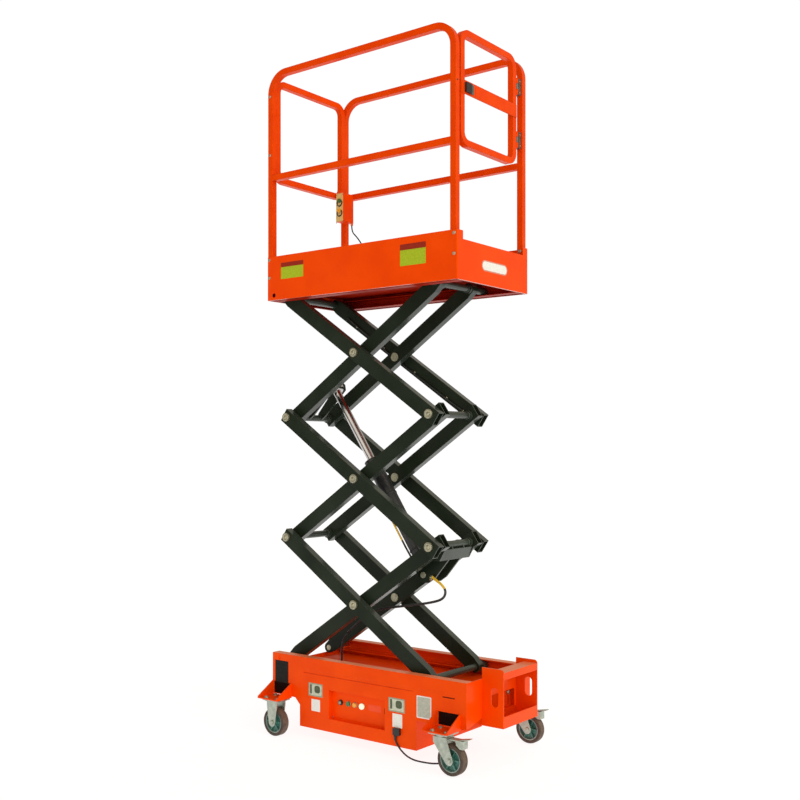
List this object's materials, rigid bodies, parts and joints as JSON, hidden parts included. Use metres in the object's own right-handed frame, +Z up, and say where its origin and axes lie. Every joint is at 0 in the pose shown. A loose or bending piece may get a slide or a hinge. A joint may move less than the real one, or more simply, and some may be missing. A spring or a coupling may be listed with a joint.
{
  "type": "scissor lift",
  "caption": "Push-around scissor lift with a guarded work platform, folding crossed arms, a lifting cylinder and a base on casters.",
  "frame": {"origin": "on the floor under the middle of the outline", "axes": "+X toward the gate and step end, +Y away from the control panel side, +Z up"},
  "size_m": [1.313, 0.76, 3.339],
  "materials": {
    "orange_paint": "satin",
    "arm_paint": "satin",
    "zinc": "satin",
    "bright_steel": "polished",
    "dark_steel": "satin",
    "tyre_rubber": "matt",
    "hub_paint": "satin",
    "black_plastic": "matt",
    "green_plastic": "gloss",
    "yellow_plastic": "gloss",
    "panel_cream": "satin"
  },
  "bodies": {
    "base": {"base_frame": "orange_paint", "side_panel_near": "orange_paint", "side_panel_far": "orange_paint", "belly_tub": "orange_paint", "control_recess": "orange_paint", "panel_controls": "green_plastic", "power_unit": "dark_steel", "power_inlet": "black_plastic", "step_frame": "orange_paint", "caster_brackets": "orange_paint", "fixed_forks": "zinc", "swivel_plates": "zinc", "mains_cord": "black_plastic", "mains_coil": "black_plastic", "mains_plug": "black_plastic", "tray_hose": "black_plastic"},
    "inner_1": {"inner_arms_1": "arm_paint", "lower_lugs": "arm_paint", "pins_stage_1": "zinc", "cylinder_pin": "zinc"},
    "outer_1": {"outer_arms_1": "arm_paint", "base_rollers": "arm_paint"},
    "outer_2": {"outer_arms_2": "arm_paint", "pins_stage_2": "zinc"},
    "inner_2": {"inner_arms_2": "arm_paint", "middle_tubes": "arm_paint", "pins_links": "zinc"},
    "inner_3": {"inner_arms_3": "arm_paint", "upper_lugs": "arm_paint", "pins_stage_3": "zinc", "platform_rollers": "zinc"},
    "outer_3": {"outer_arms_3": "arm_paint", "upper_tie_tube": "arm_paint"},
    "cylinder_barrel": {"cylinder_barrel": "dark_steel"},
    "cylinder_rod": {"cylinder_rod": "bright_steel"},
    "platform": {"platform_deck": "orange_paint", "platform_skirt": "orange_paint", "platform_rails": "orange_paint", "guard_rail_near": "orange_paint", "guard_rail_far": "orange_paint", "end_guard": "orange_paint", "gate_hinges": "zinc", "control_box": "panel_cream", "control_box_buttons": "yellow_plastic", "box_cord": "black_plastic"},
    "gate": {"gate_frame": "orange_paint", "gate_latch": "black_plastic"},
    "caster_near": {"caster_fork_near": "zinc"},
    "caster_far": {"caster_fork_far": "zinc"},
    "wheel_left_near": {"tyre_left_near": "tyre_rubber", "hub_left_near": "hub_paint"},
    "wheel_left_far": {"tyre_left_far": "tyre_rubber", "hub_left_far": "hub_paint"},
    "wheel_right_near": {"tyre_right_near": "tyre_rubber", "hub_right_near": "hub_paint"},
    "wheel_right_far": {"tyre_right_far": "tyre_rubber", "hub_right_far": "hub_paint"}
  },
  "joints": [
    {"name": "lift", "type": "hinge", "parent": "base", "child": "inner_1", "pos_m": [-0.61, 0, 0.368], "axis": [0, -1, 0], "range_deg": [-28.5, 17.8]},
    {"name": "outer_1_fold", "type": "hinge", "parent": "inner_1", "child": "outer_1", "pos_m": [-0.15924, 0, 0.67434], "axis": [0, -1, 0], "range_deg": [-36, 57.5]},
    {"name": "outer_2_fold", "type": "hinge", "parent": "inner_1", "child": "outer_2", "pos_m": [0.29152, 0, 0.98067], "axis": [0, -1, 0], "range_deg": [-36, 57.5]},
    {"name": "inner_2_fold", "type": "hinge", "parent": "outer_2", "child": "inner_2", "pos_m": [-0.15924, 0, 1.28701], "axis": [0, -1, 0], "range_deg": [-57.5, 36]},
    {"name": "inner_3_fold", "type": "hinge", "parent": "outer_2", "child": "inner_3", "pos_m": [-0.61, 0, 1.59334], "axis": [0, -1, 0], "range_deg": [-57.5, 36]},
    {"name": "outer_3_fold", "type": "hinge", "parent": "inner_3", "child": "outer_3", "pos_m": [-0.15924, 0, 1.89968], "axis": [0, -1, 0], "range_deg": [-36, 57.5]},
    {"name": "platform_level", "type": "hinge", "parent": "outer_3", "child": "platform", "pos_m": [-0.61, 0, 2.20601], "axis": [0, -1, 0], "range_deg": [-29, 18.3]},
    {"name": "cylinder_swing", "type": "hinge", "parent": "inner_1", "child": "cylinder_barrel", "pos_m": [0.14561, 0, 0.8271], "axis": [0, -1, 0], "range_deg": [-40, 63.5]},
    {"name": "cylinder_stroke", "type": "slide", "parent": "cylinder_barrel", "child": "cylinder_rod", "axis": [-0.5525, 0, 0.8335], "range_m": [-0.38, 0.238]},
    {"name": "gate_swing", "type": "hinge", "parent": "platform", "child": "gate", "pos_m": [0.4875, 0.24, 3.04801], "axis": [0, 0, -1], "range_deg": [0, 90]},
    {"name": "caster_swivel_near", "type": "hinge", "parent": "base", "child": "caster_near", "pos_m": [0.459, -0.33, 0.17], "axis": [0, 0, 1], "continuous": true},
    {"name": "caster_swivel_far", "type": "hinge", "parent": "base", "child": "caster_far", "pos_m": [0.459, 0.33, 0.17], "axis": [0, 0, 1], "continuous": true},
    {"name": "wheel_spin_left_near", "type": "hinge", "parent": "base", "child": "wheel_left_near", "pos_m": [-0.565, -0.33, 0.07], "axis": [0, 1, 0], "continuous": true},
    {"name": "wheel_spin_left_far", "type": "hinge", "parent": "base", "child": "wheel_left_far", "pos_m": [-0.565, 0.33, 0.07], "axis": [0, 1, 0], "continuous": true},
    {"name": "wheel_spin_right_near", "type": "hinge", "parent": "caster_near", "child": "wheel_right_near", "pos_m": [0.509, -0.33, 0.07], "axis": [0, 1, 0], "continuous": true},
    {"name": "wheel_spin_right_far", "type": "hinge", "parent": "caster_far", "child": "wheel_right_far", "pos_m": [0.509, 0.33, 0.07], "axis": [0, 1, 0], "continuous": true}
  ],
  "couplings": [
    {"joint": "outer_1_fold", "follows": "lift", "ratio": -2},
    {"joint": "outer_2_fold", "follows": "lift", "ratio": -2},
    {"joint": "inner_2_fold", "follows": "lift", "ratio": 2},
    {"joint": "inner_3_fold", "follows": "lift", "ratio": 2},
    {"joint": "outer_3_fold", "follows": "lift", "ratio": -2},
    {"joint": "platform_level", "follows": "lift", "ratio": 1},
    {"joint": "cylinder_swing", "follows": "lift", "ratio": -2.2},
    {"joint": "cylinder_stroke", "follows": "lift", "m_per_rad": 0.7563}
  ]
}
